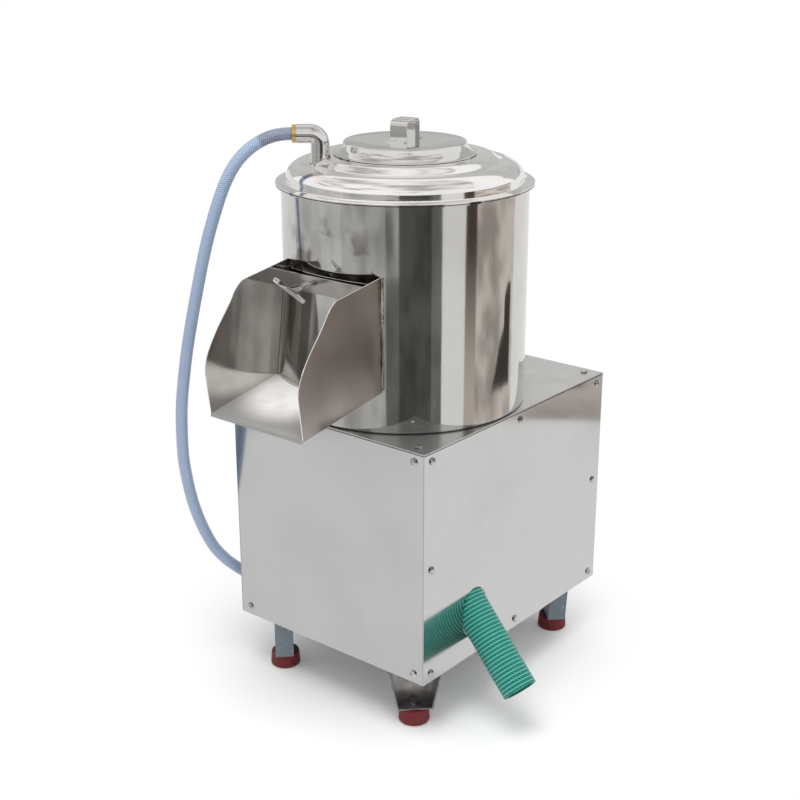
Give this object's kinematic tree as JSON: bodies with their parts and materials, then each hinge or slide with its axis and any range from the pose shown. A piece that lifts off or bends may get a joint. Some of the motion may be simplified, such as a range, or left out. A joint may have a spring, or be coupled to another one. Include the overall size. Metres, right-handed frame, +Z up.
{
  "type": "electric potato peeler",
  "caption": "Floor-standing electric potato peeler with an abrasive drum, discharge chute, lift-off lid, water hose and drain hose.",
  "frame": {"origin": "floor level, centred on the part's bounding box without its hoses", "axes": "+Z up; -Y towards the discharge chute and the operator; +X towards the side panel with the drain hose"},
  "size_m": [0.604, 0.7674, 0.9599],
  "materials": {
    "mirror_steel": "mirror polished stainless steel",
    "satin_steel": "satin stainless steel",
    "chute_steel": "darker brushed stainless steel",
    "fastener_steel": "turned and plated steel",
    "leg_paint": "blue-grey, satin",
    "frame_paint": "dark grey, satin",
    "motor_paint": "blue, satin",
    "foot_rubber": "maroon, matte",
    "black_rubber": "matte",
    "cast_iron": "as cast",
    "cast_aluminium": "as cast",
    "abrasive": "grit bonded in resin, rough",
    "black_plastic": "matte",
    "grey_plastic": "matte",
    "brass": "satin",
    "hose_blue": "translucent blue with a braid",
    "hose_green": "green, ribbed"
  },
  "bodies": {
    "base": {"top_plate": "satin_steel", "panel_front": "satin_steel", "panel_rear": "satin_steel", "panel_left": "satin_steel", "panel_right": "satin_steel", "frame_posts": "frame_paint", "rails_top": "frame_paint", "rails_bottom": "frame_paint", "panel_screws": "fastener_steel", "leg_fl": "leg_paint", "leg_fr": "leg_paint", "leg_rl": "leg_paint", "leg_rr": "leg_paint", "foot_fl": "foot_rubber", "foot_fr": "foot_rubber", "foot_rl": "foot_rubber", "foot_rr": "foot_rubber", "foot_bolts": "fastener_steel", "drum_shell": "mirror_steel", "drum_pan": "satin_steel", "wall_liner": "abrasive", "cheek_left": "chute_steel", "cheek_right": "chute_steel", "chute_floor": "chute_steel", "lintel": "chute_steel", "door_guides": "chute_steel", "bearing_housing": "cast_iron", "bearings": "fastener_steel", "shaft_seal": "black_rubber", "housing_bolts": "fastener_steel", "motor_bracket": "frame_paint", "motor_body": "motor_paint", "motor_cowl": "motor_paint", "terminal_box": "motor_paint", "v_belt": "black_rubber", "waste_spigot": "satin_steel", "hose_clip": "fastener_steel", "drain_hose": "hose_green", "cable_gland": "black_plastic", "switch_box": "grey_plastic", "rim_gasket": "black_rubber"},
    "door": {"door_plate": "mirror_steel"},
    "clamp_foot": {"clamp_pad": "fastener_steel"},
    "clamp_tee": {"clamp_screw": "fastener_steel", "clamp_bar": "fastener_steel"},
    "rotor": {"main_shaft": "fastener_steel", "disc_plate": "cast_aluminium", "abrasive_disc": "abrasive", "disc_nut": "fastener_steel", "driven_pulley": "cast_iron"},
    "motor_rotor": {"motor_shaft": "fastener_steel", "motor_pulley": "cast_iron"},
    "rocker": {"switch_rocker": "black_plastic"},
    "cover": {"cover_shell": "mirror_steel", "inlet_elbow": "mirror_steel", "hose_nipple": "brass", "water_hose": "hose_blue", "tap_connector": "brass"},
    "lid_body": {"lid": "mirror_steel", "lid_handle": "mirror_steel"}
  },
  "joints": [
    {"name": "door_lift", "type": "slide", "parent": "base", "child": "door", "axis": [0, 0.1409, 0.99], "range_m": [0, 0.038]},
    {"name": "clamp_feed", "type": "slide", "parent": "base", "child": "clamp_foot", "axis": [0, 1, 0], "range_m": [0, 0.00719]},
    {"name": "clamp_turn", "type": "hinge", "parent": "clamp_foot", "child": "clamp_tee", "pos_m": [0, -0.2045, 0.736], "axis": [0, 1, 0], "range_deg": [0, 1728]},
    {"name": "disc_spin", "type": "hinge", "parent": "base", "child": "rotor", "pos_m": [0, 0.0175, 0.5], "axis": [0, 0, 1], "continuous": true},
    {"name": "motor_spin", "type": "hinge", "parent": "base", "child": "motor_rotor", "pos_m": [0, 0.21358, 0.4], "axis": [0, 0, 1], "continuous": true},
    {"name": "rocker_tip", "type": "hinge", "parent": "base", "child": "rocker", "pos_m": [-0.11, 0.3305, 0.35], "axis": [1, 0, 0], "range_deg": [0, 20]},
    {"name": "cover_lift", "type": "slide", "parent": "base", "child": "cover", "axis": [0, 0, 1], "range_m": [0, 0.12]},
    {"name": "lid_lift", "type": "slide", "parent": "cover", "child": "lid_body", "axis": [0, 0, 1], "range_m": [0, 0.15]}
  ],
  "couplings": [
    {"joint": "motor_spin", "follows": "disc_spin", "ratio": 3.5},
    {"joint": "clamp_turn", "follows": "clamp_feed", "rad_per_m": 4188.8}
  ]
}
